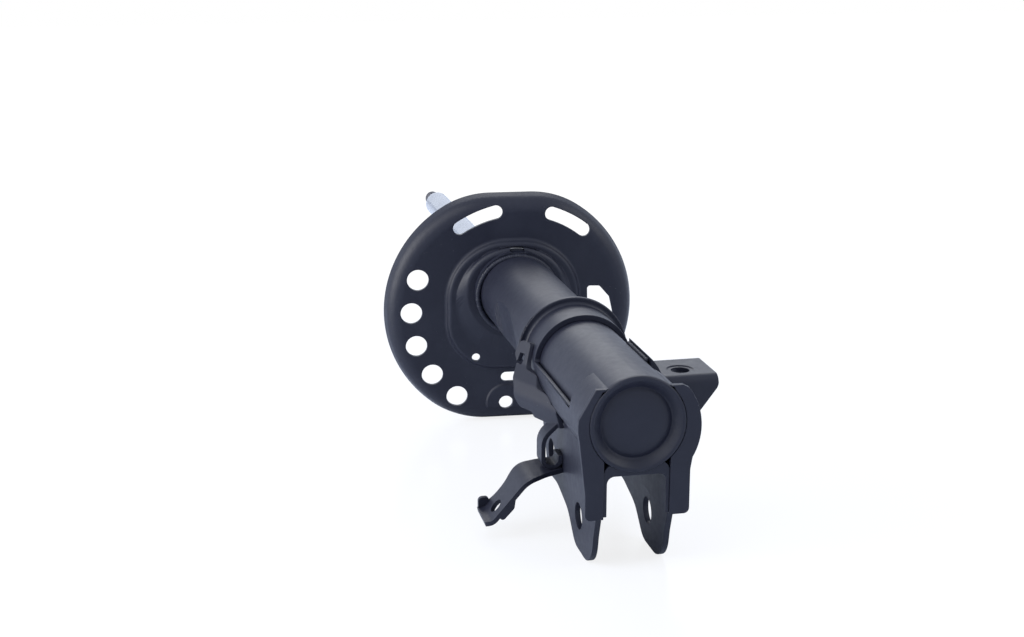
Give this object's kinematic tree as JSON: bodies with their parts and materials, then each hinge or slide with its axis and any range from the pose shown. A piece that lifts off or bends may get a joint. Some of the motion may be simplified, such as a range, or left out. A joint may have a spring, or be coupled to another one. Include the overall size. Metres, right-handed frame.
{
  "type": "suspension strut",
  "caption": "Front suspension strut: a gas damper with a dished spring seat, a two-bolt knuckle clevis, a link bracket and a hose bracket.",
  "frame": {"origin": "centre of the lower knuckle bolt hole, halfway between the two ears", "axes": "+Y along the damper axis towards the rod end, +X along the knuckle bolts towards the link bracket, +Z away from the knuckle ears"},
  "size_m": [0.1717, 0.6335, 0.1622],
  "materials": {
    "black_paint": "satin black electro-dip paint",
    "chromed_rod": "ground and hard-chromed",
    "bright_steel": "turned or stamped, bare",
    "blued_steel": "hardened spring steel, blued",
    "sintered_iron": "sintered, bare",
    "bush_bronze": "bronze-lined bush",
    "seal_rubber": "moulded black rubber",
    "band_plastic": "filled low-friction plastic"
  },
  "bodies": {
    "strut_body": {"reserve_tube": "black_paint", "base_cap": "black_paint", "inner_cylinder": "bright_steel", "base_valve_body": "sintered_iron", "base_valve_discs": "blued_steel", "base_valve_rivet": "bright_steel", "base_check_stop": "bright_steel", "rod_guide": "sintered_iron", "guide_bush": "bush_bronze", "seal_plate": "bright_steel", "rod_seal": "seal_rubber", "spring_seat": "black_paint", "seat_weld": "black_paint", "knuckle_bracket": "black_paint", "clevis_gusset": "black_paint", "link_bracket": "black_paint", "hose_strap": "black_paint", "hose_arm": "black_paint", "bracket_welds": "black_paint"},
    "base_check": {"base_check_plate": "blued_steel"},
    "band_body": {"piston_band": "band_plastic"},
    "rod_body": {"piston_rod": "chromed_rod", "piston": "sintered_iron", "piston_check_stop": "bright_steel", "rebound_discs": "blued_steel", "piston_washer": "bright_steel", "piston_nut": "bright_steel", "rebound_stop": "bright_steel", "rebound_bumper": "seal_rubber"},
    "piston_check": {"piston_check_plate": "blued_steel"}
  },
  "joints": [
    {"name": "piston_travel", "type": "slide", "parent": "strut_body", "child": "band_body", "axis": [0, 1, 0], "range_m": [-0.165, 0], "stiffness_N_per_m": 150, "springref_m": 0.2},
    {"name": "rod_turn", "type": "hinge", "parent": "band_body", "child": "rod_body", "pos_m": [0, 0.249, 0.0625], "axis": [0, 1, 0], "continuous": true},
    {"name": "base_check_lift", "type": "slide", "parent": "strut_body", "child": "base_check", "axis": [0, 1, 0], "range_m": [0, 0.0012], "stiffness_N_per_m": 400, "springref_m": -0.001},
    {"name": "piston_check_lift", "type": "slide", "parent": "rod_body", "child": "piston_check", "axis": [0, 1, 0], "range_m": [0, 0.0012], "stiffness_N_per_m": 400, "springref_m": -0.001}
  ]
}
